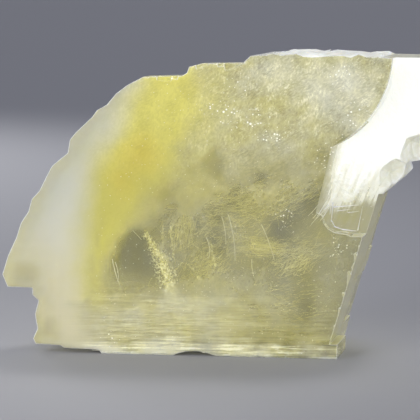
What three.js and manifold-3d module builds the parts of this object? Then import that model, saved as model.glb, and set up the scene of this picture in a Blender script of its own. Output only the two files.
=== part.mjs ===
// A cleavage slab of angel wing calcite, standing on its broken lower edge.
// Millimetres, +Z up, +X to the right along the slab. The broad front face looks along -Y.
// The origin is at the middle of the footprint, on the surface that the slab stands on.
import * as THREE from 'three';
import { mergeVertices } from 'three/addons/utils/BufferGeometryUtils.js';
import Module from 'manifold-3d';

const wasm = await Module();
wasm.setup();

// Driving dimensions
const thickness = 18; // across the two broad cleavage faces
const topHeight = 60.8; // the highest ledge above the resting edge
const cleavageAngle = 75; // between neighbouring cleavage planes, degrees

const frontY = -thickness / 2;
const backY = thickness / 2;
const lean = Math.tan(THREE.MathUtils.degToRad(90 - cleavageAngle)); // sideways run per mm
const farAway = 150; // past the slab, for cutting solids

// The right face leans with the cleavage, both up the slab and back through it
const rightFaceFoot = 21.7;
const footLedge = { height: 3, reach: 2.4, length: 8 }; // where the right face meets the base
const rightFaceAt = (z) => rightFaceFoot + lean * z;

// The broad face's outline, as X and Z on the front plane, clockwise from the resting edge
const restingEdge = [[rightFaceFoot, 0], [-23, 0]];
const lowerBreak = [[-23.6, 0.8], [-30.6, 1], [-31.2, 1.5], [-36.3, 1.7], [-36.8, 2.8]];
const leftBreak = [[-35.9, 4.8], [-36.4, 7.8], [-35.7, 10.6], [-36.9, 11.8], [-36.9, 13.2]];
const lobe = [[-41.9, 13.3], [-42.9, 15.8]];
const wingEdge = [
  [-41.8, 19.5], [-40.1, 23.2], [-39.1, 26.3], [-37.6, 28.6], [-37, 31], [-35.4, 32.8],
  [-34.2, 35.3], [-32.9, 37.8], [-29.8, 40.4], [-29.4, 43], [-28.3, 44.4], [-25, 47.6],
  [-24.1, 48.9], [-22.2, 50], [-20.3, 52.3], [-18.2, 53.9], [-15.1, 55.6],
];
const topLedges = [
  [-7.6, 55.9], [-6.6, 56.5], [-6.2, 57.7], [-3.7, 58.4], [4.3, 58.6], [5.6, 60],
  [8.9, 60.2], [9.6, topHeight], [29.4, topHeight], [30.6, 60.1],
];

// The block that overhangs the right face near the top, true to size on its own plane
const block = {
  planeY: 2,
  outline: [
    [28, 33], [34.4, 33], [35.6, 34.7], [36.5, 34.9], [37.8, 36.4], [38.3, 39],
    [40.9, 39.3], [43.5, 51], [43.1, 56.5], [41.6, 59.5], [28, 59.8],
  ],
};
const blockScoops = [
  { center: [41.6, -6.8, 38.8], radius: 7.6, flatness: 0.75, turn: [0.5, 0.4, 0] },
  { center: [36.8, -8, 36], radius: 5.8, flatness: 0.8, turn: [0.9, -0.3, 0.4] },
  { center: [33.2, -8.2, 33.6], radius: 3.4, flatness: 0.8, turn: [0.2, 0.3, 0.9] },
  { center: [41.4, -0.6, 35.4], radius: 4.6, flatness: 0.75, turn: [0.3, 0.9, 0.3] },
  { center: [43.4, 5.2, 36.2], radius: 5.6, flatness: 0.8, turn: [0.2, 0.7, -0.3] },
  { center: [47.6, -1.5, 52.5], radius: 5.4, flatness: 0.7, turn: [0.2, 1.2, 0.1] },
];

const scoopUnevenness = 0.3; // of the radius

// The back slopes away to the thin wing edge, in shallow ledges that echo that edge
const wing = {
  edgeThickness: 2,
  bevelWidth: 20,
  bulge: 4, // the broken edge stands out this far past its straight run
  ledgeDepth: 0.9,
  ledgeInsets: [13.5, 8, 3.6],
};

// Left of the highest ledge the back slopes away to a thin top edge as well, as far as a ledge
// at the back that leans with the cleavage and meets the top at x = endX
const topBevel = { from: [-15, 55.6], to: [5, 58.8], edgeThickness: 3, drop: 12, endX: 5.8 };

// The fresh break across the upper right of the front face
const freshBreak = {
  lobe: { x: 12.8, z: 60.6, radius: 20.2, wallRun: 1.2, wallDepth: 3.4 }, // the face that is left
  low: [19.2, 30.1], // the facet runs out to nothing on the line from low to high
  high: [21.7, 42],
  facetAngle: 18,
  lowerEnd: [
    [14, 29.3], [18.9, 29.8], [20.4, 29], [20.8, 27.4], [21.6, 26.4], [22.9, 25.7],
    [25.2, 25.4], [26.1, 25], [40, 24.8],
  ],
};

// Thin flakes gone from the back face, each with its outline and its depth
const backFlakes = [
  { depth: 1, outline: [[-30, -2], [3.6, -2], [5, 3.4], [4.2, 3.6], [6.6, 12.6], [-30, 12.6]] },
  { depth: 1.3, outline: [[14, 49.6], [21.6, 49.6], [22.2, 52], [60, 52], [60, 70], [20, 70]] },
  { depth: 0.7, outline: [[21.5, 3], [24.1, 8], [26.8, 8.2], [28.4, 14], [60, 14], [60, 3]] },
];

// Deeper layers gone from the left end, so that its broken edge is a flight of ledges
const leftFlakes = [
  { fromY: -4.5, outline: [[-34.6, -2], [-34.2, 4.2], [-35.2, 8.4], [-33.6, 11], [-35.4, 21]] },
  { fromY: 0.5, outline: [[-32, -2], [-32.8, 3.4], [-31.9, 6.8], [-33.4, 9.6], [-32.6, 24]] },
  { fromY: 5, outline: [[-28.4, -2], [-28, 2.6], [-29.6, 5.2], [-28.6, 13], [-29.6, 20]] },
];

// Thin slivers gone from the right face: how deep, and their span in Z and in Y
const rightFlakes = [
  { depth: 0.35, fromZ: 5, toZ: 14.8, fromY: 1.5, toY: 10 },
  { depth: 0.7, fromZ: 28.6, toZ: 34, fromY: -10, toY: -6.2 },
  { depth: 0.25, fromZ: 20, toZ: 40, fromY: 5, toY: 10 },
];

// A shallow arch broken from under the front edge
const arch = { x: -4.4, width: 8.6, height: 1, reach: 3.5 };

const hacklyTop = { minX: 7, maxX: 37, cell: 1.5, roughness: 0.75, cut: 0.45 };

// A repeatable value from 0 to 1 for a cell and a layer
function scatter(cell, layer) {
  const wave = Math.sin(cell * 127.1 + layer * 311.7) * 43758.5453;
  return wave - Math.floor(wave);
}

function toSolid(geometry) {
  const bare = geometry.clone();
  bare.deleteAttribute('normal');
  bare.deleteAttribute('uv');
  const merged = mergeVertices(bare, 1e-4);
  return new wasm.Manifold(new wasm.Mesh({
    numProp: 3,
    vertProperties: merged.attributes.position.array,
    triVerts: new Uint32Array(merged.index.array),
  }));
}

function toGeometry(solid) {
  const mesh = solid.getMesh();
  const geometry = new THREE.BufferGeometry();
  geometry.setAttribute('position', new THREE.BufferAttribute(mesh.vertProperties, 3));
  geometry.setIndex(new THREE.BufferAttribute(mesh.triVerts, 1));
  return geometry;
}

function turnTo(direction) {
  const up = new THREE.Vector3(0, 0, 1);
  return new THREE.Quaternion().setFromUnitVectors(up, new THREE.Vector3(...direction).normalize());
}

// A prism of an X-Z outline between two planes of Y, with walls that lean with the cleavage.
// The outline is true to size on the plane Y = trueY.
function leaningPrism(outline, startY, endY, trueY = frontY) {
  const shape = new THREE.Shape(outline.map(([x, z]) => new THREE.Vector2(x, z)));
  const geometry = new THREE.ExtrudeGeometry(shape, { depth: endY - startY, bevelEnabled: false });
  geometry.rotateX(Math.PI / 2);
  geometry.translate(0, endY - trueY, 0);
  geometry.applyMatrix4(new THREE.Matrix4().makeShear(0, 0, lean, 0, 0, 0));
  geometry.translate(0, trueY, 0);
  return toSolid(geometry);
}

// Everything on one side of a plane, the side that the direction points to
function beyondPlane(point, direction) {
  const geometry = new THREE.BoxGeometry(farAway, farAway, farAway);
  geometry.translate(0, 0, farAway / 2);
  geometry.applyQuaternion(turnTo(direction));
  geometry.translate(...point);
  return toSolid(geometry);
}

// Runs of the wing edge, and the unit direction from that edge into the slab
function wingDirections() {
  const [startX, startZ] = lobe[1];
  const [endX, endZ] = wingEdge[wingEdge.length - 1];
  const run = new THREE.Vector2(endX - startX, endZ - startZ).normalize();
  return { startX, startZ, run, inward: new THREE.Vector2(run.y, -run.x) };
}

// The thinning of the back towards the wing edge, sunk a little deeper at each outer ledge
function wingBevel() {
  const { startX, startZ, run, inward } = wingDirections();
  const slope = (thickness - wing.edgeThickness) / wing.bevelWidth;
  const outward = [-slope * inward.x, 1, -slope * inward.y];
  const bevelBehind = (sink) => beyondPlane(
    [
      startX - inward.x * wing.bulge,
      frontY + wing.edgeThickness + wing.ledgeDepth * wing.ledgeInsets.length - sink,
      startZ - inward.y * wing.bulge,
    ],
    outward,
  );
  let cut = bevelBehind(0);
  wing.ledgeInsets.forEach((inset, index) => {
    const echo = wingEdge.map(([x, z]) => [x + inward.x * inset, z + inward.y * inset]);
    const [firstX, firstZ] = echo[0];
    const [lastX, lastZ] = echo[echo.length - 1];
    const outline = [
      [firstX - run.x * farAway, firstZ - run.y * farAway],
      ...echo,
      [lastX + run.x * farAway, lastZ + run.y * farAway],
      [lastX + (run.x - inward.x) * farAway, lastZ + (run.y - inward.y) * farAway],
      [firstX - (run.x + inward.x) * farAway, firstZ - (run.y + inward.y) * farAway],
    ];
    const outside = leaningPrism(outline, frontY - 1, backY + 1);
    cut = cut.add(outside.intersect(bevelBehind(wing.ledgeDepth * (index + 1))));
  });
  return cut;
}

// The thinning of the back towards the top edge, left of the highest ledge
function makeTopBevel() {
  const { from, to, edgeThickness, drop, endX } = topBevel;
  const run = new THREE.Vector2(to[0] - from[0], to[1] - from[1]).normalize();
  const slope = (thickness - edgeThickness) / drop;
  const behind = beyondPlane(
    [from[0], frontY + edgeThickness, from[1]],
    [-slope * run.y, 1, slope * run.x],
  );
  const leaningOutline = [
    [-farAway, 0],
    [endX - lean * topHeight, 0],
    [endX + lean * topHeight, 2 * topHeight],
    [-farAway, 2 * topHeight],
  ];
  return behind.intersect(leaningPrism(leaningOutline, frontY - 1, backY + 1));
}

// The tilted facet of the fresh break, up to the arched wall and down to its ragged end step
function makeFreshBreak() {
  const { lobe: kept, low, high, facetAngle, lowerEnd } = freshBreak;
  const run = new THREE.Vector2(high[0] - low[0], high[1] - low[1]).normalize();
  const rise = Math.tan(THREE.MathUtils.degToRad(facetAngle));
  const facet = beyondPlane([low[0], frontY, low[1]], [rise * run.y, -1, -rise * run.x]);
  const [endX] = lowerEnd[lowerEnd.length - 1];
  const outline = [...lowerEnd, [endX + farAway, farAway], [lowerEnd[0][0], farAway]];
  const aboveStep = leaningPrism(outline, frontY - 1, backY);
  const keptGeometry = new THREE.CylinderGeometry(
    kept.radius + kept.wallRun,
    kept.radius - kept.wallRun,
    2 * kept.wallDepth,
    120,
  );
  keptGeometry.translate(kept.x, frontY, kept.z);
  return facet.intersect(aboveStep).subtract(toSolid(keptGeometry));
}

// A flattened, uneven ball that leaves a shell-shaped hollow of small facets
function makeScoop({ center, radius, flatness, turn }) {
  const geometry = new THREE.IcosahedronGeometry(radius, 1);
  const position = geometry.attributes.position;
  const corner = new THREE.Vector3();
  for (let i = 0; i < position.count; i += 1) {
    corner.fromBufferAttribute(position, i);
    const key = Math.round(corner.x * 50) + Math.round(corner.y * 70) + Math.round(corner.z * 90);
    corner.multiplyScalar(1 + scoopUnevenness * (scatter(key, 2) - 0.5));
    position.setXYZ(i, corner.x, corner.y, corner.z);
  }
  geometry.scale(1, 1, flatness);
  geometry.applyQuaternion(new THREE.Quaternion().setFromEuler(new THREE.Euler(...turn)));
  geometry.translate(...center);
  return toSolid(geometry);
}

// The uneven skin that comes off the highest ledge
function makeHacklyTop() {
  const { minX, maxX, cell, roughness, cut } = hacklyTop;
  const height = 4;
  const width = maxX - minX;
  const columns = Math.round(width / cell);
  const rows = Math.round((thickness + 2 * cell) / cell);
  const geometry = new THREE.BoxGeometry(width, rows * cell, height, columns, rows, 1);
  const position = geometry.attributes.position;
  for (let i = 0; i < position.count; i += 1) {
    if (position.getZ(i) < 0) {
      const key = Math.round(position.getX(i) / cell) * 31 + Math.round(position.getY(i) / cell);
      position.setZ(i, position.getZ(i) + (scatter(key, 1) - 0.5) * roughness);
    }
  }
  geometry.translate((minX + maxX) / 2, 0, topHeight - cut + height / 2);
  return toSolid(geometry);
}

function makeArch() {
  const radius = ((arch.width / 2) ** 2 + arch.height ** 2) / (2 * arch.height);
  const geometry = new THREE.CylinderGeometry(radius, radius, 2 * arch.reach, 96);
  geometry.translate(arch.x, frontY, arch.height - radius);
  return toSolid(geometry);
}

// Small flat chips along a straight edge, each a corner of a turned block
function chipEdge({ start, end, outward, count, size, layer }) {
  const from = new THREE.Vector3(...start);
  const to = new THREE.Vector3(...end);
  const chips = [];
  for (let i = 0; i < count; i += 1) {
    const along = (i + 0.15 + 0.7 * scatter(i, layer)) / count;
    const depth = size * (0.25 + 0.75 * scatter(i, layer + 1) ** 2);
    const reach = depth * (3 + 5 * scatter(i, layer + 2));
    const aim = new THREE.Vector3(...outward).normalize();
    aim.x += 0.5 * (scatter(i, layer + 3) - 0.5);
    aim.y += 0.5 * (scatter(i, layer + 4) - 0.5);
    aim.z += 0.5 * (scatter(i, layer + 5) - 0.5);
    const geometry = new THREE.BoxGeometry(reach, reach, reach);
    geometry.translate(0, 0, reach / 2);
    geometry.applyQuaternion(turnTo(aim.toArray()));
    const place = from.clone().lerp(to, along).addScaledVector(aim, -depth);
    geometry.translate(place.x, place.y, place.z);
    chips.push(toSolid(geometry));
  }
  return chips;
}

const chippedEdges = [
  {
    start: [rightFaceAt(6), frontY, 6],
    end: [rightFaceAt(25), frontY, 25],
    outward: [1, -1, 0],
    count: 7,
    size: 0.45,
    layer: 10,
  },
  {
    start: [rightFaceAt(4) + lean * thickness, backY, 4],
    end: [rightFaceAt(32) + lean * thickness, backY, 32],
    outward: [1, 0.6, 0],
    count: 8,
    size: 0.5,
    layer: 20,
  },
  {
    start: [-22, frontY, 0],
    end: [23, frontY, 0],
    outward: [0, -1, -1],
    count: 9,
    size: 0.35,
    layer: 33,
  },
  {
    start: [-5, frontY, 58.5],
    end: [4, frontY, 58.6],
    outward: [0, -1, 1],
    count: 4,
    size: 0.6,
    layer: 40,
  },
  {
    start: [-15, frontY, 55.6],
    end: [-8, frontY, 55.9],
    outward: [0, -1, 1],
    count: 3,
    size: 0.6,
    layer: 50,
  },
];

function makeCrystal() {
  const outline = [
    ...restingEdge, ...lowerBreak, ...leftBreak, ...lobe, ...wingEdge, ...topLedges,
    [rightFaceAt(60), 60],
  ];
  const foot = [
    [rightFaceFoot - 2, 0],
    [rightFaceFoot - 2, footLedge.height],
    [rightFaceAt(footLedge.height) + footLedge.reach - lean * footLedge.height, footLedge.height],
    [rightFaceFoot + footLedge.reach, 0],
  ];
  let solid = leaningPrism(outline, frontY, backY);
  solid = solid.add(leaningPrism(block.outline, frontY, backY, block.planeY));
  solid = solid.add(leaningPrism(foot, frontY, frontY + footLedge.length));
  const cuts = [wingBevel(), makeTopBevel(), makeFreshBreak(), makeHacklyTop(), makeArch()];
  cuts.push(...blockScoops.map(makeScoop));
  backFlakes.forEach(({ depth, outline: flake }) => {
    cuts.push(leaningPrism(flake, backY - depth, backY + 1));
  });
  leftFlakes.forEach(({ fromY, outline: flake }) => {
    cuts.push(leaningPrism([...flake, [-70, 24], [-70, -2]], fromY, backY + 1));
  });
  rightFlakes.forEach(({ depth, fromZ, toZ, fromY, toY }) => {
    const flake = [
      [rightFaceAt(fromZ) - depth, fromZ],
      [rightFaceAt(toZ) - depth, toZ],
      [rightFaceAt(toZ) + depth, toZ],
      [rightFaceAt(fromZ) + depth, fromZ],
    ];
    cuts.push(leaningPrism(flake, fromY, toY));
  });
  chippedEdges.forEach((edge) => cuts.push(...chipEdge(edge)));
  cuts.forEach((cut) => {
    solid = solid.subtract(cut);
  });
  return solid;
}

const crystalGeometry = toGeometry(makeCrystal());
crystalGeometry.computeBoundingBox();
const box = crystalGeometry.boundingBox;
crystalGeometry.translate(
  -(box.min.x + box.max.x) / 2,
  -(box.min.y + box.max.y) / 2,
  -box.min.z,
);
crystalGeometry.computeVertexNormals();

const calcite = new THREE.MeshStandardMaterial({ color: 0xd9d7a3, roughness: 0.12, metalness: 0 });
const slab = new THREE.Mesh(crystalGeometry, calcite);
slab.name = 'calcite_slab';

const specimen = new THREE.Group();
specimen.add(slab);

export default specimen;
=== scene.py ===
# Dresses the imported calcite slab: the crystal itself, what is sealed inside it, the floor and the light.
import math
import random

import bmesh
import bpy
from mathutils import Matrix, Vector, noise
from mathutils.bvhtree import BVHTree


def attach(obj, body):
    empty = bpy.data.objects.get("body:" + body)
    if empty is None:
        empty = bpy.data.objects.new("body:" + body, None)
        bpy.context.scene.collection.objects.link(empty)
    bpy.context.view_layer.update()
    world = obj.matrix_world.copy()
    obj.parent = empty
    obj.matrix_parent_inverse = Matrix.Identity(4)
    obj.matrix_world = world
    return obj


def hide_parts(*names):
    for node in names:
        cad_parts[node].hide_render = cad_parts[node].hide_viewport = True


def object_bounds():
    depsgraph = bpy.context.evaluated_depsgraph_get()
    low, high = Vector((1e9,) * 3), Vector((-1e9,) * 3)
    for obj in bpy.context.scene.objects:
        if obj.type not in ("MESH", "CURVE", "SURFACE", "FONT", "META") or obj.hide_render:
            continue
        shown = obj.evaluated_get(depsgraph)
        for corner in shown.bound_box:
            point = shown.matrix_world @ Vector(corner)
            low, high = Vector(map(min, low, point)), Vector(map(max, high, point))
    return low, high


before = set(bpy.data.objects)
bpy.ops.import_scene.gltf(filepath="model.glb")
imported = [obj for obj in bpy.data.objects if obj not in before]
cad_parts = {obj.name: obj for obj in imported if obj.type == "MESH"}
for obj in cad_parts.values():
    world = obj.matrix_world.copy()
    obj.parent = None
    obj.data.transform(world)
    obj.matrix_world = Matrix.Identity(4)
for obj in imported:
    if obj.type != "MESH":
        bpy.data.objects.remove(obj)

cadLow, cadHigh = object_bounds()
mm = 0.001
noise.seed_set(10)   # the same growth zones in every run


def linearColor(hexText, alpha=1.0):
    # sRGB hex to the linear values that the sockets take
    channels = [int(hexText[i:i + 2], 16) / 255 for i in (1, 3, 5)]
    straight = [c / 12.92 if c <= 0.04045 else ((c + 0.055) / 1.055) ** 2.4 for c in channels]
    return (*straight, alpha)


def addNode(tree, kind, settings=None, inputs=None):
    # adds one node; inputs maps a socket's name or number to a value or to another node's output
    node = tree.nodes.new(kind)
    for name, value in (settings or {}).items():
        setattr(node, name, value)
    for key, value in (inputs or {}).items():
        if isinstance(value, bpy.types.NodeSocket):
            tree.links.new(value, node.inputs[key])
        else:
            node.inputs[key].default_value = value
    return node


def newMaterial(name):
    material = bpy.data.materials.new(name)
    material.use_nodes = True
    material.node_tree.nodes.clear()
    return material, material.node_tree


def meshObject(name, bm, material):
    mesh = bpy.data.meshes.new(name)
    bm.to_mesh(mesh)
    bm.free()
    mesh.materials.append(material)
    obj = bpy.data.objects.new(name, mesh)
    bpy.context.scene.collection.objects.link(obj)
    return obj


def inSlab(piece):
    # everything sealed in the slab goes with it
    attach(piece, "root")
    return piece


def softStep(low, high, value):
    t = min(max((value - low) / (high - low), 0), 1)
    return t * t * (3 - 2 * t)


# Camera
cameraView = {
    "distance": 290 * mm,
    "azimuth": 2.0,
    "elevation": 9.3,
    "roll": 0.9,
    "target": Vector((-3.24, 0, 28.2)) * mm,
    "lens": 122.3,
}


def makeCamera(v):
    azimuth, elevation = math.radians(v["azimuth"]), math.radians(v["elevation"])
    back = Vector((
        math.sin(azimuth) * math.cos(elevation),
        -math.cos(azimuth) * math.cos(elevation),
        math.sin(elevation),
    ))
    data = bpy.data.cameras.new("frontView")
    data.lens = v["lens"]
    data.sensor_width = 36
    data.clip_start = 0.01
    camera = bpy.data.objects.new("frontView", data)
    turn = (-back).to_track_quat("-Z", "Y").to_matrix().to_4x4()
    roll = Matrix.Rotation(math.radians(v["roll"]), 4, "Z")
    camera.matrix_world = Matrix.Translation(v["target"] + back * v["distance"]) @ turn @ roll
    bpy.context.scene.collection.objects.link(camera)
    bpy.context.scene.camera = camera


makeCamera(cameraView)
print("camera ready")

# Floor, backdrop and light
studio = {
    "floorColor": "#a3a3a6",
    "floorSize": 30.0,
    "worldColor": "#a0a2ac",
    "worldStrength": 1.2,
}
softboxes = [
    # name, place, aims at, size, watts, spread in degrees, whether glossy faces mirror it
    ("topBack", (-0.26, 0.30, 0.34), (-0.05, 0.02, 0.04), 0.20, 0.03, 60, True),
    ("overhead", (0.12, 0.10, 0.40), (0.005, 0, 0.055), 0.08, 0.010, 20, True),
    ("leftPool", (-0.35, 0.45, 0.30), (-0.13, 0.26, 0), 0.20, 0.17, 50, True),
    ("leftFloor", (-0.30, -0.20, 0.20), (-0.10, -0.05, 0), 0.15, 0.045, 50, True),
    ("rightFront", (0.36, -0.40, 0.085), (0.01, 0, 0.064), 0.16, 0.081, 28, True),
    ("leftFront", (-0.42, -0.36, 0.085), (-0.01, 0, 0.055), 0.16, 0.163, 60, False),
]


def makeStudio(v, lights):
    material, tree = newMaterial("paleFloorPaint")
    shader = addNode(tree, "ShaderNodeBsdfPrincipled", inputs={
        "Base Color": linearColor(v["floorColor"]), "Roughness": 0.9, "Specular IOR Level": 0.1,
    })
    addNode(tree, "ShaderNodeOutputMaterial", inputs={"Surface": shader.outputs[0]})
    bm = bmesh.new()
    bmesh.ops.create_grid(bm, x_segments=1, y_segments=1, size=v["floorSize"] / 2)
    meshObject("studioFloor", bm, material)

    world = bpy.data.worlds.new("studioAir")
    bpy.context.scene.world = world
    world.use_nodes = True
    background = world.node_tree.nodes["Background"]
    background.inputs["Color"].default_value = linearColor(v["worldColor"])
    background.inputs["Strength"].default_value = v["worldStrength"]

    for name, place, aim, size, watts, spread, mirrored in lights:
        data = bpy.data.lights.new(name, "AREA")
        data.shape = "SQUARE"
        data.size = size
        data.energy = watts
        data.spread = math.radians(spread)
        lamp = bpy.data.objects.new(name, data)
        lamp.visible_transmission = False   # they light the crystal but aren't seen through it
        lamp.visible_glossy = mirrored
        direction = Vector(aim) - Vector(place)
        turn = direction.to_track_quat("-Z", "Y").to_matrix().to_4x4()
        lamp.matrix_world = Matrix.Translation(place) @ turn
        bpy.context.scene.collection.objects.link(lamp)


makeStudio(studio, softboxes)
bpy.context.scene.view_settings.view_transform = "Standard"
print("floor and softboxes ready")

# The growth zones of the crystal
zones = {
    # how many bends per mm, and how far they push the zones' outlines, mm
    "wander": (0.09, 2.0),
    "sway": (0.35, 0.6),
    # how hazy, and for the last three the heights between which that haze comes or goes
    "bodyHaze": 0.26,
    "topHaze": (0.92, 30, 50),
    "footHaze": (0.74, 5, 24),
    "baseHaze": (2.1, 1.5, 4.2),
    # the share of the haze that is gone in each
    "clears": {"window": 0.86, "rightWindow": 0.35, "darkPatches": 0.75, "lemon": 0.4},
    # where the zones lie, in mm on the broad face: x, z, reach
    "milkEdge": {"x": -29.6, "z": 20.5, "curl": 0.0105, "soft": 4.8},
    "lemon": [
        (-12, 53, 7.5), (-13.5, 47, 7.8), (-16, 41, 7.4), (-19.2, 36, 6.2),
        (-21.4, 31, 5.4), (-23.4, 25.5, 4.0), (-25.4, 18, 2.4), (-25.2, 11, 1.5),
    ],
    "paleLemon": [(-4, 55, 4), (-3.5, 49, 4), (-4, 43, 3.5), (-8, 36, 3)],
    "amber": [(-17.4, 39.8, 3.6), (-19.8, 35.6, 1.8)],
    "paleTop": [(9, 57, 2), (17, 55.5, 4), (25, 53, 5), (28, 47, 3)],
    "thinMilk": [(-39.4, 15.4, 2.2), (-34, 5, 1.6), (-27.4, 6.4, 0.6)],
    "window": [(-17.6, 25, 1.8), (-17.8, 22.6, 3.2), (-17.8, 17.4, 4.8), (-17.5, 12, 5.4)],
    "rightWindow": [(12, 26, 3.0), (14, 16, 5), (16, 7, 3)],
    # patches where the painted sparkle dots lie thickest
    "paintedSparkle": [
        (-1, 49, 2.5), (4.9, 47.2, 2.5), (25, 48.5, 3), (20, 40.6, 1.8), (3.2, 54, 1.4),
        (22, 56, 2.4), (22.4, 22.6, 1.2), (12.2, 28, 1.0), (-23.5, 4, 1.8), (8.8, 44, 2),
    ],
    "darkPatches": [
        (-2.8, 38.4, 2.4), (7, 35.7, 1.3), (3.4, 33.4, 1.7), (1.6, 30.9, 1.4), (17.2, 31.2, 2.4),
        (13.7, 28, 2.2), (10.8, 25.2, 2.6), (-1, 28.4, 2.0), (-1.6, 22.5, 2.6), (22.8, 45.6, 0.5),
        (-2.2, 41.2, 0.9), (-11.4, 30.8, 1.8), (-6.1, 25.8, 1.7), (13, 33.8, 1.0), (-6.6, 37.2, 1.3),
        (16.4, 9.6, 1.6),
    ],
}


def reachOf(x, z, path, soft):
    # 1 inside a chain of round zones, falling to 0 over the soft distance
    best = 0.0
    point = Vector((x, z))
    for (ax, az, ar), (bx, bz, br) in zip(path, path[1:]):
        a, b = Vector((ax, az)), Vector((bx, bz))
        along = min(max((point - a).dot(b - a) / (b - a).length_squared, 0), 1)
        gap = (point - a.lerp(b, along)).length - (ar + (br - ar) * along)
        best = max(best, 1 - softStep(-soft, soft, gap))
    return best


def spotsOf(x, z, spots, soft):
    return max(1 - softStep(-soft, soft, math.hypot(x - sx, z - sz) - sr) for sx, sz, sr in spots)


def leftOf(x, z, path):
    # 1 well to the left of a chain of zones that runs from the top down
    for (ax, az, _), (bx, bz, _) in zip(path, path[1:]):
        if bz <= z <= az:
            middle = bx + (ax - bx) * (z - bz) / (az - bz)
            return softStep(-3, 3, middle - x)
    return 0.0


def zonesAt(x, y, z):
    # how milky, lemon yellow, amber and hazy the crystal is at a place in mm
    (wanderBends, wanderReach), (swayBends, swayReach) = zones["wander"], zones["sway"]
    wander = noise.noise_vector(Vector((x, y * 2, z)) * wanderBends)
    sway = noise.noise_vector(Vector((x, y, z)) * swayBends)
    dark = spotsOf(x + sway.x, z + sway.z, zones["darkPatches"], 1.1)
    x = x + wanderReach * wander.x + swayReach * sway.x
    z = z + wanderReach * wander.z + swayReach * sway.z
    edge = zones["milkEdge"]
    past = x - edge["x"] - edge["curl"] * (z - edge["z"]) ** 2
    milk = 1 - softStep(-edge["soft"], edge["soft"], past)
    lemon = max(reachOf(x, z, zones["lemon"], 4.0), leftOf(x, z, zones["lemon"]))
    lemon = max(lemon, 0.5 * reachOf(x, z, zones["paleLemon"], 4.5))
    amber = spotsOf(x, z, zones["amber"], 3.5)
    (top, topLow, topHigh), (foot, footLow, footHigh) = zones["topHaze"], zones["footHaze"]
    base, baseLow, baseHigh = zones["baseHaze"]
    clears = zones["clears"]
    haze = zones["bodyHaze"] + top * softStep(topLow, topHigh, z)
    haze = max(haze, foot * (1 - softStep(footLow, footHigh, z)) * (1 - 0.5 * softStep(0, 14, x)))
    haze = max(haze, (base - 0.03 * x) * (1 - softStep(baseLow, baseHigh, z)))
    window = reachOf(x, z, zones["window"], 0.9) * softStep(11, 18.5, z)
    haze *= 1 - clears["window"] * window
    haze *= 1 - clears["rightWindow"] * reachOf(x, z, zones["rightWindow"], 4)
    haze *= 1 - clears["darkPatches"] * dark
    haze *= 1 - clears["lemon"] * lemon
    thin = 0.35 * spotsOf(x, z, zones["thinMilk"], 1.8)
    pale = 0.4 * reachOf(x, z, zones["paleTop"], 5)
    return max(milk * (1 - thin), pale), lemon * (1 - milk) * (1 - 0.9 * window), amber, haze * (1 - milk)


def cleanCopy(node):
    bm = bmesh.new()
    bm.from_mesh(node.data)
    bmesh.ops.remove_doubles(bm, verts=bm.verts, dist=1e-6)
    bmesh.ops.dissolve_limit(bm, angle_limit=math.radians(1), verts=bm.verts, edges=bm.edges)
    return bm


cadShape = cleanCopy(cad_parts["calcite_slab"])
cadTree = BVHTree.FromBMesh(cadShape)


def frontAndBack(x, z):
    # y of the crystal's front and back surface; the same value where there is none
    front = cadTree.ray_cast(Vector((x, -0.05, z)), Vector((0, 1, 0)))[0]
    back = cadTree.ray_cast(Vector((x, 0.05, z)), Vector((0, -1, 0)))[0]
    return (front.y, back.y) if front and back else (0.0, 0.0)


def depthInside(point):
    # how far a point lies under the crystal's surface, in metres; 0 outside
    front, back = frontAndBack(point.x, point.z)
    return cadTree.find_nearest(point)[3] if front < point.y < back else 0.0


def thicknessAt(x, z, around=2.5 * mm):
    # front to back through the crystal, in metres, evened out over its surroundings
    spots = [(x, z), (x - around, z), (x + around, z), (x, z - around), (x, z + around)]
    return sum(back - front for front, back in (frontAndBack(*spot) for spot in spots)) / len(spots)


# The crystal
slab = {
    "ior": 1.6,                       # between calcite's 1.66 and 1.49
    "absorptionColor": "#f7f6a6",
    "absorptionDensity": 12.0,
    # how far the white painted along the edges reaches: chipped wear and a painted edge highlight
    "gridStep": 1.0 * mm,
    "edgeWearAndHighlight": 0.3 * mm,
    # cells per metre of the painted sparkle dots
    "sparkleCellsPerMetre": 1900.0,
    "brokenColor": "#f4f5ea",
    "cleavageAngle": 75.0,
    "onPlane": 0.9995,                # cosine above which a face lies on a cleavage plane
    "freshFacet": (0.30, -0.95, -0.06),
    "onFacet": 0.995,                 # the same for the facet of the fresh break
    # how dull the faces are: the broad ones, the level and leaning ones, and the broken ones
    "dust": {
        "front": 0.0, "back": 0.15, "level": 0.7, "leaning": 0.42, "farBack": 0.1,
        "fresh": 0.28, "broken": 0.45,
    },
}


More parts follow.
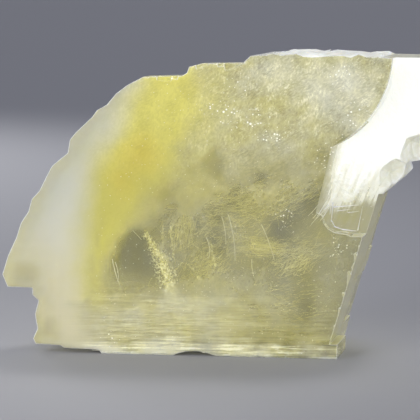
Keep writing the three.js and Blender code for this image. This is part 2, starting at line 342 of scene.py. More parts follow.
def markBreaks(bm, v):
    # faces that don't lie on a cleavage plane are broken, and take a frosted finish
    lean = math.tan(math.radians(90 - v["cleavageAngle"]))
    cleavage = [Vector((0, 1, 0)), Vector((0, 0, 1)), Vector((1, -lean, -lean)).normalized()]
    freshNormal = Vector(v["freshFacet"]).normalized()
    dust = v["dust"]
    fresh = bm.faces.layers.float.new("fresh")
    hackly = bm.faces.layers.float.new("hackly")
    shattered = bm.faces.layers.float.new("shattered")
    dusty = bm.faces.layers.float.new("dusty")
    for face in bm.faces:
        middle = face.calc_center_median() / mm
        normal = face.normal
        onPlane = max(abs(normal.dot(c)) for c in cleavage) > v["onPlane"]
        likeFacet = normal.dot(freshNormal)
        # the arched wall above the facet, and the block that overhangs the right face
        wall = middle.x > 5 and middle.y > -8.9 and middle.z > 24 and normal.y < 0.3 and abs(normal.z) < 0.6
        block = not onPlane and middle.x > 27 and 28 < middle.z < 46 and likeFacet < v["onFacet"]
        isFresh = likeFacet > v["onFacet"] or (wall and not onPlane and not block)
        face[fresh] = float(isFresh)
        face[shattered] = float(block)
        face[hackly] = 0.0 if onPlane or isFresh else softStep(6, 11, middle.x) * softStep(50, 58, middle.z)
        if abs(normal.y) > v["onPlane"]:
            face[dusty] = dust["front" if normal.y < 0 else "back"]
        elif onPlane and middle.y < 7:
            face[dusty] = dust["level" if abs(normal.z) > 0.5 else "leaning"]
        elif onPlane:
            face[dusty] = dust["farBack"]
        else:
            face[dusty] = dust["fresh" if isFresh else "broken"]


def slabMesh(v):
    bm = cadShape.copy()
    markBreaks(bm, v)

    # an even grid over every face carries the growth zones
    for axis in range(3):
        normal = Vector((0, 0, 0))
        normal[axis] = 1
        steps = int((cadHigh[axis] - cadLow[axis]) / v["gridStep"])
        for i in range(1, steps + 1):
            cut = Vector((0, 0, 0))
            cut[axis] = cadLow[axis] + i * v["gridStep"]
            bmesh.ops.bisect_plane(
                bm, geom=bm.verts[:] + bm.edges[:] + bm.faces[:], dist=1e-7, plane_co=cut, plane_no=normal,
            )
    names = ("milk", "lemon", "amber", "haze", "whole", "paintedSparkle")
    layers = [bm.verts.layers.float.new(name) for name in names]
    for vert in bm.verts:
        x, y, z = vert.co / mm
        # the fresh break is whitest at its top and turns glassy towards its lower left
        whole = 0.12 + 0.48 * softStep(28.8, 32.0, z - 0.2 * (x - 24)) + 0.4 * softStep(31, 45, z)
        milk, lemon, amber, haze = zonesAt(x, y, z)
        # how thick the painted sparkle dots lie
        paintedSparkle = 0.2 * (1 - milk) + 0.36 * spotsOf(x, z, zones["paintedSparkle"], 2.5)
        # the milk clears where the slab thins out
        milk *= 1 - 0.65 * math.exp(-thicknessAt(vert.co.x, vert.co.z) / (5 * mm))
        for layer, value in zip(layers, (milk, lemon, amber, haze, whole, paintedSparkle)):
            vert[layer] = value
    bmesh.ops.triangulate(bm, faces=bm.faces)
    return bm


def colorRamp(tree, value, stops):
    ramp = addNode(tree, "ShaderNodeValToRGB", inputs={"Fac": value})
    elements = ramp.color_ramp.elements
    elements.remove(elements[1])
    elements[0].position = stops[0][0]
    elements[0].color = linearColor(stops[0][1])
    for position, color in stops[1:]:
        elements.new(position).color = linearColor(color)
    return ramp.outputs["Color"]


def streaksAlong(tree, place, lie, stretch, scale, detail):
    # noise drawn out along a line that lies at an angle on the broad face
    along = addNode(tree, "ShaderNodeMapping", {"vector_type": "TEXTURE"}, {
        "Vector": place, "Rotation": (0, -math.radians(lie), 0), "Scale": (stretch, 1, 1),
    })
    return addNode(tree, "ShaderNodeTexNoise", inputs={
        "Vector": along.outputs[0], "Scale": scale, "Detail": detail, "Roughness": 0.66, "Distortion": 0.3,
    }).outputs["Fac"]


def growthTexture(tree, place):
    # short fibres, half a millimetre to a millimetre long, that lie two ways, and level grain near the foot
    swirl = addNode(tree, "ShaderNodeTexNoise", inputs={"Vector": place, "Scale": 260.0, "Detail": 2.0})
    turned = addNode(tree, "ShaderNodeMapRange", inputs={
        "Value": swirl.outputs["Fac"], "From Min": 0.46, "From Max": 0.54,
    })
    fibres = addNode(tree, "ShaderNodeMix", inputs={
        0: turned.outputs[0],
        2: streaksAlong(tree, place, lie=32, stretch=2.2, scale=2900.0, detail=5.0),
        3: streaksAlong(tree, place, lie=74, stretch=1.8, scale=2700.0, detail=5.0),
    })
    height = addNode(tree, "ShaderNodeMapRange", inputs={
        "Value": addNode(tree, "ShaderNodeSeparateXYZ", inputs={0: place}).outputs["Z"],
        "From Min": 0.009, "From Max": 0.015,
    })
    level = addNode(tree, "ShaderNodeMath", {"operation": "MULTIPLY_ADD"}, {
        0: streaksAlong(tree, place, lie=1, stretch=22.0, scale=2600.0, detail=4.0), 1: 1.7, 2: -0.35,
    })
    return addNode(tree, "ShaderNodeMix", inputs={
        0: height.outputs[0], 2: level.outputs[0], 3: fibres.outputs[0],
    }).outputs[0]


def zoneTone(tree, zone, place, texture):
    # the body drifts from grey white to cream, is lemon and amber where stained, and pale where milky,
    # there creamier towards the foot
    drift = addNode(tree, "ShaderNodeTexNoise", inputs={
        "Vector": place, "Scale": 110.0, "Detail": 4.0, "Roughness": 0.6,
    })
    tone = colorRamp(tree, drift.outputs["Fac"], [(0.38, "#d8d6ba"), (0.5, "#d9d5ac"), (0.62, "#d6d19a")])
    # lighter flecks in the haze are painted glints of fine inclusions
    gathered = addNode(tree, "ShaderNodeTexNoise", inputs={
        "Vector": place, "Scale": 420.0, "Detail": 5.0, "Roughness": 0.65,
    })
    glintFleckRange = addNode(tree, "ShaderNodeMapRange", inputs={
        "Value": addNode(tree, "ShaderNodeMath", {"operation": "ADD"}, {
            0: texture, 1: gathered.outputs["Fac"],
        }).outputs[0],
        "From Min": 1.05, "From Max": 1.28,
    })
    flecks = addNode(tree, "ShaderNodeMath", {"operation": "MULTIPLY", "use_clamp": True}, {
        0: glintFleckRange.outputs[0], 1: zone["haze"],
    })
    # the pale cream of the flecks is a painted glint; lemon and amber are stains
    shares = (
        (flecks.outputs[0], "#f6f3cf"), (zone["lemon"], "#d3cd76"), (zone["amber"], "#d4c868"),
    )
    for share, color in shares:
        tone = addNode(tree, "ShaderNodeMix", {"data_type": "RGBA"}, {
            0: share, 6: tone, 7: linearColor(color),
        }).outputs[2]
    creamy = addNode(tree, "ShaderNodeMapRange", inputs={
        "Value": addNode(tree, "ShaderNodeSeparateXYZ", inputs={0: place}).outputs["Z"],
        "From Min": 0.030, "From Max": 0.014,
    })
    milkTone = addNode(tree, "ShaderNodeMix", {"data_type": "RGBA"}, {
        0: creamy.outputs[0], 6: linearColor("#d9dad3"), 7: linearColor("#dcd7ba"),
    })
    return addNode(tree, "ShaderNodeMix", {"data_type": "RGBA"}, {
        0: zone["milk"], 6: tone, 7: milkTone.outputs[2],
    }).outputs[2]


def cloudPattern(tree, place, texture):
    # fine inclusions: soft lumps, matted with the growth texture
    lumps = addNode(tree, "ShaderNodeTexNoise", inputs={
        "Vector": place, "Scale": 260.0, "Detail": 7.0, "Roughness": 0.65,
    })
    matted = addNode(tree, "ShaderNodeMath", {"operation": "MULTIPLY_ADD"}, {
        0: lumps.outputs["Fac"], 1: 1.1, 2: texture,
    })
    return addNode(tree, "ShaderNodeMapRange", inputs={
        "Value": matted.outputs[0], "From Min": 0.82, "From Max": 1.26, "To Min": 0.58, "To Max": 1.34,
    }).outputs[0]


def makeCalcite(v):
    # calcite cleaved and left raw: glassy planes, satin breaks, milky and lemon growth zones within
    material, tree = newMaterial("calcite")
    names = ("milk", "lemon", "amber", "haze", "whole", "paintedSparkle", "fresh", "hackly", "shattered", "dusty")
    zone = {
        name: addNode(tree, "ShaderNodeAttribute", {"attribute_name": name}).outputs["Fac"]
        for name in names
    }
    place = addNode(tree, "ShaderNodeTexCoord").outputs["Object"]
    texture = growthTexture(tree, place)
    hazeCloud = addNode(tree, "ShaderNodeMath", {"operation": "MULTIPLY"}, {
        0: zone["haze"], 1: cloudPattern(tree, place, texture),
    })
    hazeShare = addNode(tree, "ShaderNodeMath", {"operation": "MULTIPLY"}, {0: hazeCloud.outputs[0], 1: 0.46})
    lemonShare = addNode(tree, "ShaderNodeMath", {"operation": "MULTIPLY_ADD"}, {
        0: zone["lemon"], 1: 0.6, 2: hazeShare.outputs[0],
    })
    veil = addNode(tree, "ShaderNodeMath", {"operation": "MULTIPLY_ADD", "use_clamp": True}, {
        0: zone["milk"], 1: 0.8, 2: lemonShare.outputs[0],
    })
    dust = addNode(tree, "ShaderNodeMath", {"operation": "MAXIMUM"}, {0: veil.outputs[0], 1: zone["dusty"]})

    # edges and chips are painted white, partly as chipped wear and partly as a painted highlight where they
    # catch the light, and the broken faces are matt white
    rounded = addNode(tree, "ShaderNodeBevel", {"samples": 6}, {"Radius": v["edgeWearAndHighlight"]})
    facing = addNode(tree, "ShaderNodeNewGeometry")
    agree = addNode(tree, "ShaderNodeVectorMath", {"operation": "DOT_PRODUCT"}, {
        0: rounded.outputs[0], 1: facing.outputs["Normal"],
    })
    wornAndLitEdge = addNode(tree, "ShaderNodeMapRange", inputs={
        "Value": agree.outputs["Value"], "From Min": 0.985, "From Max": 0.86, "To Min": 0.0, "To Max": 0.8,
    })
    # seen through the crystal, the painted edge highlight and wear of the far side are faint
    nearSideShare = addNode(tree, "ShaderNodeMapRange", inputs={
        "Value": addNode(tree, "ShaderNodeSeparateXYZ", inputs={0: place}).outputs["Y"],
        "From Min": -0.006, "From Max": 0.002, "To Min": 1.0, "To Max": 0.25,
    })
    edgeWhiteAndHighlight = addNode(tree, "ShaderNodeMath", {"operation": "MULTIPLY"}, {
        0: wornAndLitEdge.outputs[0], 1: nearSideShare.outputs[0],
    })
    # painted sparkle: white dots a tenth of a millimetre or two across, thickest in a few patches
    sparkleCells = addNode(tree, "ShaderNodeTexVoronoi", inputs={"Vector": place, "Scale": v["sparkleCellsPerMetre"]})
    sparkleSize = addNode(tree, "ShaderNodeMath", {"operation": "MULTIPLY"}, {
        0: addNode(tree, "ShaderNodeSeparateColor", inputs={0: sparkleCells.outputs["Color"]}).outputs[0],
        1: zone["paintedSparkle"],
    })
    paintedSparkleWhite = addNode(tree, "ShaderNodeMapRange", {"interpolation_type": "SMOOTHSTEP"}, {
        "Value": addNode(tree, "ShaderNodeMath", {"operation": "SUBTRACT"}, {
            0: sparkleSize.outputs[0], 1: sparkleCells.outputs["Distance"],
        }).outputs[0],
        "From Min": 0.0, "From Max": 0.12,
    })
    grit = addNode(tree, "ShaderNodeTexNoise", inputs={
        "Vector": place, "Scale": 1100.0, "Detail": 6.0, "Roughness": 0.7,
    })
    gritRange = addNode(tree, "ShaderNodeMapRange", inputs={
        "Value": grit.outputs["Fac"], "From Min": 0.35, "From Max": 0.6, "To Min": 0.7, "To Max": 1.1,
    })
    feather = streaksAlong(tree, place, lie=68, stretch=6.0, scale=1300.0, detail=5.0)
    ragged = addNode(tree, "ShaderNodeMath", {"operation": "MULTIPLY_ADD"}, {
        0: feather, 1: 1.2, 2: -0.68,
    })
    featherEdge = addNode(tree, "ShaderNodeMath", {"operation": "MULTIPLY_ADD", "use_clamp": True}, {
        0: zone["whole"], 1: 1.3, 2: ragged.outputs[0],
    })
    # the fresh break's thin left margin, level with the broad face, is part see-through
    margin = addNode(tree, "ShaderNodeMapRange", inputs={
        "Value": addNode(tree, "ShaderNodeSeparateXYZ", inputs={0: place}).outputs["Y"],
        "From Min": -0.009, "From Max": -0.0082, "To Min": 0.3, "To Max": 1.0,
    })
    freshPart = addNode(tree, "ShaderNodeMath", {"operation": "MULTIPLY"}, {
        0: addNode(tree, "ShaderNodeMath", {"operation": "MULTIPLY"}, {
            0: zone["fresh"], 1: margin.outputs[0],
        }).outputs[0],
        1: featherEdge.outputs[0],
    })
    # the overhanging block is shattered through and through
    splinters = addNode(tree, "ShaderNodeTexNoise", inputs={
        "Vector": place, "Scale": 1400.0, "Detail": 5.0, "Roughness": 0.6, "Distortion": 0.6,
    })
    crazed = addNode(tree, "ShaderNodeMapRange", inputs={
        "Value": splinters.outputs["Fac"], "From Min": 0.38, "From Max": 0.62, "To Min": 0.68, "To Max": 0.95,
    })
    shatteredPart = addNode(tree, "ShaderNodeMath", {"operation": "MULTIPLY"}, {
        0: zone["shattered"], 1: crazed.outputs[0],
    })
    hacklyPart = addNode(tree, "ShaderNodeMath", {"operation": "MULTIPLY"}, {
        0: zone["hackly"], 1: gritRange.outputs[0],
    })
    broken = addNode(tree, "ShaderNodeMath", {"operation": "MAXIMUM", "use_clamp": True}, {
        0: freshPart.outputs[0],
        1: addNode(tree, "ShaderNodeMath", {"operation": "MAXIMUM"}, {
            0: hacklyPart.outputs[0], 1: shatteredPart.outputs[0],
        }).outputs[0],
    })
    # the edges' wear with its painted highlight, and the painted sparkle
    edgeAndSparkleWhite = addNode(tree, "ShaderNodeMath", {"operation": "MAXIMUM"}, {
        0: edgeWhiteAndHighlight.outputs[0], 1: paintedSparkleWhite.outputs[0],
    })
    white = addNode(tree, "ShaderNodeMath", {"operation": "MAXIMUM", "use_clamp": True}, {
        0: broken.outputs[0], 1: edgeAndSparkleWhite.outputs[0],
    })
    cover = addNode(tree, "ShaderNodeMath", {"operation": "MAXIMUM"}, {
        0: dust.outputs[0], 1: white.outputs[0],
    })
    clear = addNode(tree, "ShaderNodeMath", {"operation": "SUBTRACT"}, {0: 1.0, 1: cover.outputs[0]})

    whitened = addNode(tree, "ShaderNodeMix", {"data_type": "RGBA"}, {
        0: white.outputs[0], 6: zoneTone(tree, zone, place, texture), 7: linearColor(v["brokenColor"]),
    })
    rough = addNode(tree, "ShaderNodeMath", {"operation": "MAXIMUM"}, {
        0: broken.outputs[0], 1: zone["dusty"],
    })
    shine = addNode(tree, "ShaderNodeMapRange", inputs={
        "Value": rough.outputs[0], "To Min": 0.04, "To Max": 0.42,
    })
    reliefDepth = addNode(tree, "ShaderNodeMapRange", inputs={
        "Value": rough.outputs[0], "To Min": 0.03, "To Max": 0.5,
    })
    relief = addNode(tree, "ShaderNodeBump", inputs={
        "Strength": reliefDepth.outputs[0], "Distance": 0.0003, "Height": grit.outputs["Fac"],
    })
    shader = addNode(tree, "ShaderNodeBsdfPrincipled", inputs={
        "Base Color": whitened.outputs[2],
        "Roughness": shine.outputs[0],
        "IOR": v["ior"],
        "Transmission Weight": clear.outputs[0],
        "Normal": relief.outputs[0],
        "Subsurface Weight": 1.0,
        "Subsurface Radius": (1.0, 0.95, 0.8),
        "Subsurface Scale": 0.003,
    })
    # the clear share lets the lamps reach what is sealed inside
    path = addNode(tree, "ShaderNodeLightPath")
    passing = addNode(tree, "ShaderNodeMath", {"operation": "MULTIPLY"}, {
        0: path.outputs["Is Shadow Ray"], 1: clear.outputs[0],
    })
    passed = addNode(tree, "ShaderNodeBsdfTransparent")
    surface = addNode(tree, "ShaderNodeMixShader", inputs={
        0: passing.outputs[0], 1: shader.outputs[0], 2: passed.outputs[0],
    })
    absorb = addNode(tree, "ShaderNodeVolumeAbsorption", inputs={
        "Color": linearColor(v["absorptionColor"]), "Density": v["absorptionDensity"],
    })
    addNode(tree, "ShaderNodeOutputMaterial", inputs={
        "Surface": surface.outputs[0], "Volume": absorb.outputs[0],
    })
    return material


crystal = inSlab(meshObject("crystal", slabMesh(slab), makeCalcite(slab)))
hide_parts("calcite_slab")
print("crystal ready,", len(crystal.data.polygons), "faces")

# Clouds of fine inclusions, lying in sheets parallel to the broad face
clouds = {
    "depths": (-5.5, -1.0, 4.5),   # y of each sheet, mm
    "wave": 0.9,                   # how far a sheet wanders from its plane, mm
    "step": 1.0 * mm,
    "cover": 0.5,
}


def makeCloudMaterial(v):
    # hair-fine fluid inclusions: a dull cream cloud, drawn out along the crystal's grain
    material, tree = newMaterial("inclusionCloud")
    zone = {
        name: addNode(tree, "ShaderNodeAttribute", {"attribute_name": name}).outputs["Fac"]
        for name in ("milk", "lemon", "amber", "haze", "fade")
    }
    place = addNode(tree, "ShaderNodeTexCoord").outputs["Object"]
    texture = growthTexture(tree, place)
    hazeShare = addNode(tree, "ShaderNodeMath", {"operation": "MULTIPLY"}, {
        0: zone["haze"], 1: cloudPattern(tree, place, texture),
    })
    smooth = addNode(tree, "ShaderNodeMath", {"operation": "MAXIMUM"}, {0: zone["lemon"], 1: zone["milk"]})
    share = addNode(tree, "ShaderNodeMath", {"operation": "MULTIPLY_ADD"}, {
        0: smooth.outputs[0], 1: 0.8, 2: hazeShare.outputs[0],
    })
    cover = addNode(tree, "ShaderNodeMath", {"operation": "MULTIPLY"}, {0: share.outputs[0], 1: v["cover"]})
    alpha = addNode(tree, "ShaderNodeMath", {"operation": "MULTIPLY", "use_clamp": True}, {
        0: cover.outputs[0], 1: zone["fade"],
    })
    shader = addNode(tree, "ShaderNodeBsdfPrincipled", inputs={
        "Base Color": zoneTone(tree, zone, place, texture), "Roughness": 0.7, "Alpha": alpha.outputs[0],
    })
    addNode(tree, "ShaderNodeOutputMaterial", inputs={"Surface": shader.outputs[0]})
    return material


def makeClouds(v):
    material = makeCloudMaterial(v)
    middle = (cadLow + cadHigh) / 2
    size = cadHigh - cadLow
    for number, depth in enumerate(v["depths"]):
        bm = bmesh.new()
        bmesh.ops.create_grid(
            bm, x_segments=int(size.x / v["step"]), y_segments=int(size.z / v["step"]), size=0.5,
            matrix=Matrix.Translation((middle.x, depth * mm, middle.z)) @ Matrix.Rotation(math.pi / 2, 4, "X")
            @ Matrix.Diagonal((size.x, size.z, 1, 1)),
        )
        names = ("milk", "lemon", "amber", "haze", "fade")
        layers = [bm.verts.layers.float.new(name) for name in names]
        outside = []
        for vert in bm.verts:
            vert.co.y += v["wave"] * mm * noise.noise(vert.co * 120 + Vector((0, number * 7, 0)))
            under = depthInside(vert.co) / mm
            if under < 0.6:
                outside.append(vert)
            values = zonesAt(*(vert.co / mm))
            for layer, value in zip(layers, (*values, softStep(0.8, 4, under))):
                vert[layer] = value
        bmesh.ops.delete(bm, geom=outside, context="VERTS")
        inSlab(meshObject("inclusionCloud%d" % (number + 1), bm, material))


makeClouds(clouds)
print("inclusion clouds ready")

# Feathers of short hairs
feathers = [
    # x and z of the middle, half lengths, lie and its scatter in degrees, how many, stained share
    (14.7, 34.8, 8.0, 3.6, 30, 16, 1100, 0.5),
    (6.0, 32.6, 6.0, 3.0, 16, 18, 600, 0.4),
    (-5.0, 32.4, 7.0, 2.6, 8, 16, 800, 0.6),
    (-12.8, 30.4, 4.5, 2.6, 10, 25, 400, 0.7),
    (7.8, 21.6, 5.0, 1.7, -4, 10, 420, 0.8),
    (-8.0, 26.6, 5.0, 2.6, 82, 14, 320, 0.6),
    (0.0, 41.6, 7.0, 4.0, 50, 40, 420, 0.3),
    (12.7, 42.6, 7.0, 4.0, 20, 35, 500, 0.3),
    (14.7, 49.5, 9.0, 4.5, 15, 50, 400, 0.1),
    (2.9, 49.5, 6.0, 5.0, 60, 50, 450, 0.2),
    (-18.7, 8.2, 6.5, 3.0, 2, 14, 520, 0.6),
    (-8.9, 9.4, 3.2, 7.0, 80, 30, 520, 0.5),
    (10.8, 9.4, 8.0, 6.0, 8, 30, 300, 0.4),
    (14.7, 19.8, 5.0, 3.6, 30, 35, 320, 0.3),
    (-3.0, 18.6, 6.0, 4.0, 40, 50, 360, 0.5),
    (0.0, 28.0, 12.0, 6.0, 10, 60, 500, 0.4),
]
hairs = {
    "density": 1.7,
    "length": (0.5, 3.0),        # mm
    "thickness": (0.015, 0.038),  # mm, radius
    "depth": (-8.2, 5.0),
    "paleColor": "#efecca",
    "stainedColor": "#dbd6a2",
    "glintLength": (0.3, 1.5),   # mm
    "glintDepth": (-8.94, -8.7),
    "glintColor": "#ffffff",
    "hazy": 0.5,                 # haze above which only glints show
    "clear": 0.06,               # haze below which nothing grows
    "cover": 0.01,               # mm, the least crystal over a hair
}
shapesPerBatch = 150


def batchesOf(items, size):
    return [items[i:i + size] for i in range(0, len(items), size)]


def sealMany(name, parts, material, shape, batchSize=shapesPerBatch):
    # builds many small shapes batch by batch, which keeps each bmesh call light
    whole = bmesh.new()
    for batch in batchesOf(parts, batchSize):
        bm = bmesh.new()
        for part in batch:
            shape(bm, part)
        mesh = bpy.data.meshes.new(name)
        bm.to_mesh(mesh)
        bm.free()
        whole.from_mesh(mesh)
        bpy.data.meshes.remove(mesh)
    return inSlab(meshObject(name, whole, material))


def makeInclusion(name, color, roughness, mirror=0.0):
    material, tree = newMaterial(name)
    shader = addNode(tree, "ShaderNodeBsdfPrincipled", inputs={
        "Base Color": linearColor(color), "Roughness": roughness, "Metallic": mirror,
    })
    addNode(tree, "ShaderNodeOutputMaterial", inputs={"Surface": shader.outputs[0]})
    return material


def hairShape(bm, part):
    place, direction, length, thickness = part
    turn = direction.to_track_quat("Z", "Y").to_matrix().to_4x4()
    bmesh.ops.create_cone(
        bm, cap_ends=False, segments=3, radius1=thickness, radius2=thickness * 0.15, depth=length,
        matrix=Matrix.Translation(place) @ turn,
    )


def makeHairs(v, fields):
    rng = random.Random(11)
    pale, stained, glints = [], [], []
    for x, z, halfLong, halfWide, lie, scatter, count, share in fields:
        turn = Matrix.Rotation(-math.radians(lie), 3, "Y")
        for _ in range(int(count * v["density"])):
            local = Vector((rng.gauss(0, halfLong * 0.5), 0, rng.gauss(0, halfWide * 0.5)))
            place = (turn @ local + Vector((x, 0, z))) * mm
            haze = zonesAt(*(place / mm))[3]
            # where the crystal is hazy, only glints close under the face show
            isGlint = haze > v["hazy"]
            place.y = rng.uniform(*v["glintDepth" if isGlint else "depth"]) * mm
            angle = math.radians(lie + rng.gauss(0, scatter * 0.6))
            direction = Vector((math.cos(angle), rng.gauss(0, 0.02 if isGlint else 0.12), math.sin(angle)))
            length = rng.uniform(*v["glintLength" if isGlint else "length"]) * mm
            thickness = rng.uniform(*v["thickness"]) * mm
            ends = (place - direction * length / 2, place + direction * length / 2)
            if haze < v["clear"] or min(depthInside(end) for end in ends) < thickness + v["cover"] * mm:
                continue
            if isGlint:
                glints.append((place, direction, length, thickness))
            else:
                (stained if rng.random() < share else pale).append((place, direction, length, thickness))
    sealMany("paleHairs", pale, makeInclusion("fluidInclusion", v["paleColor"], 0.5), hairShape)
    sealMany("stainedHairs", stained, makeInclusion("stainedInclusion", v["stainedColor"], 0.6), hairShape)
    sealMany("glints", glints, makeInclusion("brightInclusion", v["glintColor"], 0.3, 0.5), hairShape)
    print("hairs ready,", len(pale), "pale,", len(stained), "stained and", len(glints), "bright")


makeHairs(hairs, feathers)

# Healed cracks: crinkled sheets that catch the light; x, z and width along each, mm
cracks = {
    "crinkle": 0.5,        # mm
    "cutsAlong": 9,        # between two points of a path
    "cutsAcross": 10,
    "tones": [(0.4, "#c9c48a"), (0.5, "#e6e2aa"), (0.58, "#ffffee")],
    "roughness": 0.3,
    "sheets": [
        # front depth, back depth, how solid, path
        (-8.3, -5.6, 1.0, [
            (-16.4, 26.2, 0.8), (-15.2, 23.8, 2.0), (-13.8, 21.6, 4.6), (-12.6, 19.6, 6.0),
            (-11.8, 17.2, 5.6), (-11.2, 14.8, 5.2), (-10.2, 12.2, 5.4), (-8.8, 9.8, 6.4),
            (-7.8, 7.0, 5.6), (-7.2, 4.0, 3.8), (-7.0, 1.6, 2.4),
        ]),
        (-8.0, -7.0, 0.8, [
            (-10.2, 15.4, 0.4), (-9.3, 17.7, 0.6), (-8.0, 19.0, 0.6), (-6.6, 18.0, 0.5),
            (-5.6, 16.6, 0.6), (-4.2, 14.8, 0.6), (-2.9, 14.6, 0.6), (-1.8, 16.4, 0.5),
            (-2.2, 20.6, 0.4), (-3.2, 24.4, 0.3),
        ]),
        (-7.4, -6.2, 0.55, [(-12.2, 27.5, 0.7), (-12.4, 24.0, 0.9), (-12.0, 20.4, 0.8)]),
        (-7.2, -5.8, 0.6, [(-10.4, 27.6, 0.9), (-10.6, 24.4, 1.1), (-10.1, 20.2, 0.8), (-9.7, 17.2, 0.6)]),
        (-6.8, -5.4, 0.45, [(-8.6, 27.2, 0.8), (-8.8, 23.6, 1.0), (-9.0, 19.4, 0.7)]),
        (-7.6, -6.6, 0.55, [(-4.0, 36.6, 0.5), (-2.6, 35.2, 2.4), (-1.6, 33.8, 3.4), (-1.2, 33.4, 3.2)]),
        (-6.5, -5.0, 0.5, [(-9.6, 32.6, 1.0), (-6.4, 32.0, 2.0), (-3.4, 32.2, 2.2), (0.4, 33.0, 0.8)]),
    ],
}


def ribbonOf(bm, v, sheet, layers):
    # a sheet along its path, crinkled, with its edges marked so that they can be ragged
    front, back, solid, path = sheet
    count = len(path) - 1
    made = bmesh.ops.create_grid(
        bm, x_segments=count * v["cutsAlong"], y_segments=v["cutsAcross"], size=0.5,
    )["verts"]
    edge, body = layers
    for vert in made:
        u, w = (vert.co.x + 0.5) * count, vert.co.y * 2
        start = min(int(u), count - 1)
        t = u - start
        x, z, width = (a + (b - a) * t for a, b in zip(path[start], path[start + 1]))
        place = Vector((x + w * width / 2, front + (back - front) * (0.5 - w / 2), z))
        place += (
            v["crinkle"] * noise.noise_vector(place * 1.6)
            + v["crinkle"] * 0.5 * noise.noise_vector(place * 4)
        )
        vert.co = place * mm
        vert[edge] = 1 - abs(w)
        vert[body] = solid * softStep(0, 0.6, min(u, count - u))


def makeCracks(v):
    # air-thin healed cracks: bright satin with ragged edges
    material, tree = newMaterial("healedCrack")
    edge = addNode(tree, "ShaderNodeAttribute", {"attribute_name": "edge"}).outputs["Fac"]
    body = addNode(tree, "ShaderNodeAttribute", {"attribute_name": "body"}).outputs["Fac"]
    place = addNode(tree, "ShaderNodeTexCoord").outputs["Object"]
    flecks = addNode(tree, "ShaderNodeTexNoise", inputs={
        "Vector": place, "Scale": 2200.0, "Detail": 6.0, "Roughness": 0.75,
    })
    torn = addNode(tree, "ShaderNodeMath", {"operation": "MULTIPLY"}, {0: flecks.outputs["Fac"], 1: 1.8})
    ragged = addNode(tree, "ShaderNodeMath", {"operation": "MULTIPLY_ADD"}, {
        0: edge, 1: 0.5, 2: torn.outputs[0],
    })
    opening = addNode(tree, "ShaderNodeMapRange", {"interpolation_type": "SMOOTHSTEP"}, {
        "Value": ragged.outputs[0], "From Min": 0.98, "From Max": 1.4,
    })
    alpha = addNode(tree, "ShaderNodeMath", {"operation": "MULTIPLY"}, {0: opening.outputs[0], 1: body})
    relief = addNode(tree, "ShaderNodeBump", inputs={
        "Strength": 0.6, "Distance": 0.0002, "Height": flecks.outputs["Fac"],
    })
    shader = addNode(tree, "ShaderNodeBsdfPrincipled", inputs={
        "Base Color": colorRamp(tree, flecks.outputs["Fac"], v["tones"]), "Roughness": v["roughness"],
        "Alpha": alpha.outputs[0], "Normal": relief.outputs[0],
    })
    addNode(tree, "ShaderNodeOutputMaterial", inputs={"Surface": shader.outputs[0]})
    bm = bmesh.new()
    layers = (bm.verts.layers.float.new("edge"), bm.verts.layers.float.new("body"))
    for sheet in v["sheets"]:
        ribbonOf(bm, v, sheet, layers)
    inSlab(meshObject("healedCracks", bm, material))


makeCracks(cracks)
print("healed cracks ready")

# Long straight needles, and the level grain lines near the foot
needles = {
    "color": "#ffffff",
    "roughness": 0.3,
    "radius": (0.05, 0.09),        # mm
    "depth": (-8.9, -8.7),
    # x and z of both ends, mm, and the sag to one side
    "lines": [
        (8.0, 47.7, 8.8, 41.4, 0.25), (-2.4, 44.2, -1.5, 38.0, 0.3), (22.9, 59.0, 24.7, 53.0, 0.35),
        (7.2, 27.1, 9.9, 20.0, 0.2), (5.5, 20.0, 6.1, 16.1, -0.2), (-3.6, 24.2, -3.0, 20.2, 0.35),
        (0.6, 29.0, 2.2, 19.5, 0.4), (-0.6, 28.4, 0.3, 22.8, 0.25), (-22.2, 19.4, -20.0, 12.4, -0.25),
        (-21.6, 18.8, -20.9, 15.2, 0.15), (11.8, 37.4, 13.6, 35.2, 0.5), (10.7, 34.4, 12.6, 34.3, 0.1),
        (-7.6, 44.6, -6.2, 39.0, 0.2), (1.8, 38.8, 3.4, 33.0, 0.3), (14.6, 33.6, 17.6, 36.2, 0.3),
        (-10.8, 44.8, -8.6, 41.6, 0.2), (-20.6, 27.4, -16.4, 23.4, 0.15),
    ],
    # white splinters at the lower left corner of the fresh break: x and z of both ends, mm, and radius;
    # they stand half out of its facet, and lie just under the broad face
    "splinterCover": 0.02,
    "splinters": [
        (17.3, 28.4, 21.6, 33.4, 0.06), (17.7, 28.2, 22.2, 32.6, 0.05), (18.2, 28.9, 21.0, 33.6, 0.05),
        (17.2, 27.5, 20.2, 30.6, 0.05), (18.8, 28.0, 20.6, 30.6, 0.05), (17.0, 29.4, 19.7, 33.2, 0.04),
        (16.4, 28.9, 18.9, 31.6, 0.04), (19.6, 30.2, 22.8, 34.6, 0.06), (16.8, 26.9, 18.4, 28.9, 0.05),
        (20.7, 29.2, 21.0, 34.4, 0.06), (21.2, 31.6, 21.0, 27.6, 0.16), (20.9, 28.0, 21.9, 26.5, 0.18),
        (21.5, 26.7, 23.6, 25.9, 0.18), (23.2, 26.0, 26.2, 25.6, 0.16), (21.4, 30.6, 26.4, 30.9, 0.14),
        (26.4, 25.7, 27.2, 30.6, 0.14), (22.0, 29.8, 25.0, 30.1, 0.08), (24.2, 29.4, 26.6, 29.6, 0.07),
    ],
    # level grain lines: how many, where, and their sizes in mm
    "grain": {
        "count": 520, "x": (-25, 6.4), "y": (-8.95, -8.85), "z": (0.6, 12.4), "rightEnd": 6.6,
        "length": (2.0, 9.0), "radius": (0.02, 0.05), "cover": 0.05, "color": "#fffde6",
    },
}


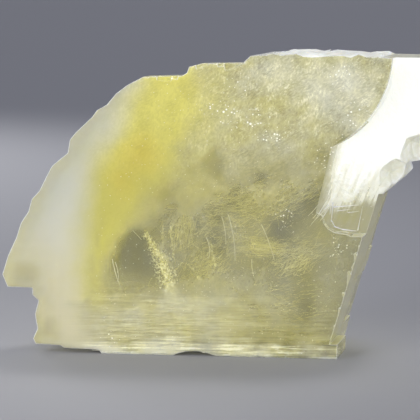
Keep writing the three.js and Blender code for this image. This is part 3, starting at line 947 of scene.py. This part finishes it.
def needleShape(bm, part):
    start, end, sag, radius = part
    length = (end - start).length
    made = bmesh.ops.create_cone(
        bm, cap_ends=False, segments=4, radius1=radius, radius2=radius * 0.5, depth=length,
    )["verts"]
    sides = [
        edge for edge in bm.edges
        if edge.verts[0] in made and abs(edge.verts[0].co.z - edge.verts[1].co.z) > length / 2
    ]
    bmesh.ops.subdivide_edges(bm, edges=sides, cuts=7)
    turn = (end - start).to_track_quat("Z", "Y")
    side = Vector((1, 0, 0))
    for vert in bm.verts:
        t = vert.co.z / length + 0.5
        vert.co = start.lerp(end, t) + turn @ Vector((vert.co.x, vert.co.y, 0)) + side * sag * 4 * t * (1 - t)


def makeNeedles(v):
    rng = random.Random(23)
    bright = makeInclusion("brightNeedle", v["color"], v["roughness"], 0.5)
    parts = []
    for ax, az, bx, bz, sag in v["lines"]:
        depth = rng.uniform(*v["depth"])
        start = Vector((ax, depth, az)) * mm
        end = Vector((bx, depth + rng.uniform(0, 0.15), bz)) * mm
        parts.append((start, end, sag * mm, rng.uniform(*v["radius"]) * mm))
    # one to a batch, because each needle bends all that is in its bmesh
    sealMany("needles", parts, bright, needleShape, 1)

    splinters = []
    for ax, az, bx, bz, radius in v["splinters"]:
        ends = [Vector((x, 0, z)) * mm for x, z in ((ax, az), (bx, bz))]
        for end in ends:
            end.y = max(frontAndBack(end.x, end.z)[0], cadLow.y + (radius + v["splinterCover"]) * mm)
        start, end = ends
        splinters.append(((start + end) / 2, end - start, (end - start).length, radius * mm))
    sealMany("splinters", splinters, bright, hairShape)

    g = v["grain"]
    lines = []
    while len(lines) < g["count"]:
        place = Vector((rng.uniform(*g["x"]), rng.uniform(*g["y"]), rng.uniform(*g["z"]))) * mm
        length = rng.uniform(*g["length"]) * mm
        haze = zonesAt(*(place / mm))[3]
        isUnder = depthInside(place) > g["cover"] * mm
        if isUnder and rng.random() < haze and place.x + length / 2 < g["rightEnd"] * mm:
            direction = Vector((1, 0, rng.gauss(0, 0.02)))
            lines.append((place, direction, length, rng.uniform(*g["radius"]) * mm))
    sealMany("grainLines", lines, makeInclusion("grainLine", g["color"], 0.4), hairShape)


makeNeedles(needles)
print("needles and grain lines ready")

# Sparkling specks
specks = {
    "radius": (0.05, 0.16),   # mm
    "depth": (-8.6, -5.5),
    "cover": 0.1,             # mm, the least crystal over a speck
    "color": "#ffffff",
    "patches": [
        # x and z of the middle, half lengths, how many
        (-1.0, 49.2, 2.0, 3.8, 110), (4.9, 47.2, 3.6, 3.0, 70), (25.4, 48.4, 2.6, 2.8, 150),
        (19.7, 40.6, 1.2, 2.2, 60), (3.2, 54.0, 0.7, 3.6, 70), (22.2, 22.6, 0.8, 2.6, 40),
        (12.0, 29.0, 1.6, 4.6, 60), (-9.0, 8.0, 3.0, 5.0, 80), (-23.5, 5.0, 1.6, 3.6, 50),
        (2.0, 30.0, 18.0, 22.0, 380), (-13.0, 19.5, 1.3, 3.2, 160), (-10.0, 11.0, 1.6, 3.4, 110),
        (22.0, 56.0, 3.0, 2.4, 70), (8.8, 43.6, 6.0, 4.0, 60),
    ],
}


def speckShape(bm, part):
    place, radius, turn, stretch = part
    bmesh.ops.create_icosphere(
        bm, subdivisions=1, radius=radius,
        matrix=Matrix.Translation(place) @ turn @ Matrix.Diagonal((*stretch, 1)),
    )


def makeSpecks(v):
    rng = random.Random(37)
    parts = []
    for x, z, halfWide, halfHigh, count in v["patches"]:
        for _ in range(count):
            place = Vector((
                rng.gauss(x, halfWide * 0.6), rng.uniform(*v["depth"]), rng.gauss(z, halfHigh * 0.6),
            )) * mm
            radius = rng.uniform(*v["radius"]) * rng.random() ** 0.5 * mm
            if depthInside(place) < radius + v["cover"] * mm:
                continue
            angle = rng.uniform(0, math.pi)
            turn = Matrix.Rotation(angle, 4, (rng.random(), rng.random(), rng.random() + 0.1))
            parts.append((place, radius, turn, (1, rng.uniform(0.5, 1), rng.uniform(0.3, 0.8))))
    sealMany("specks", parts, makeInclusion("sparklingSpeck", v["color"], 0.3, 0.6), speckShape)
    print("specks ready,", len(parts))


makeSpecks(specks)
